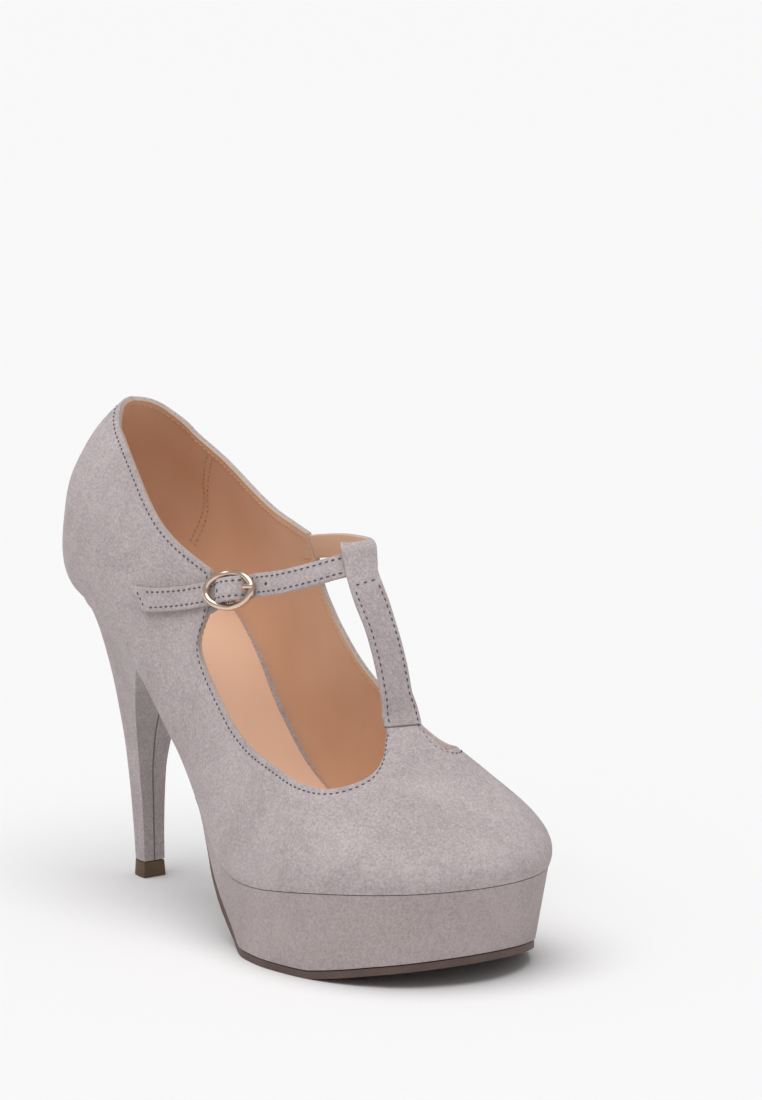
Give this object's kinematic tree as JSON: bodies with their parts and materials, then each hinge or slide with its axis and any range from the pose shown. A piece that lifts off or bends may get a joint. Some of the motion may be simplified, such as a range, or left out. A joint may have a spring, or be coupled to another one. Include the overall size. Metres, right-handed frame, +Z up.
{
  "type": "heeled shoe",
  "caption": "Right-foot suede T-bar platform pump: tall slim wrapped heel, hollow upper with open side scoops, and an ankle strap through a loop and buckle.",
  "frame": {"origin": "on the floor, in the middle of the forefoot tread", "axes": "+X from heel to toe, +Y to the inner side of the foot, +Z up"},
  "size_m": [0.2284, 0.0926, 0.1646],
  "materials": {
    "upper_suede": "napped suede over a smooth tan lining",
    "sock_leather": "smooth, low sheen",
    "platform_suede": "napped suede wrapped over a block",
    "sole_rubber": "matte",
    "heel_suede": "napped suede wrapped over a moulded heel",
    "top_piece_rubber": "matte",
    "tbar_suede": "napped suede",
    "strap_suede": "napped suede",
    "grey_elastic": "woven",
    "light_gold": "polished, light gold",
    "prong_gold": "polished, light gold"
  },
  "bodies": {
    "root": {"upper": "upper_suede", "insole": "sock_leather", "platform": "platform_suede", "outsole": "sole_rubber", "heel": "heel_suede", "top_piece": "top_piece_rubber", "t_bar": "tbar_suede", "ankle_strap": "strap_suede", "buckle_tab": "grey_elastic", "buckle_frame": "light_gold", "buckle_prong": "prong_gold"}
  },
  "joints": []
}
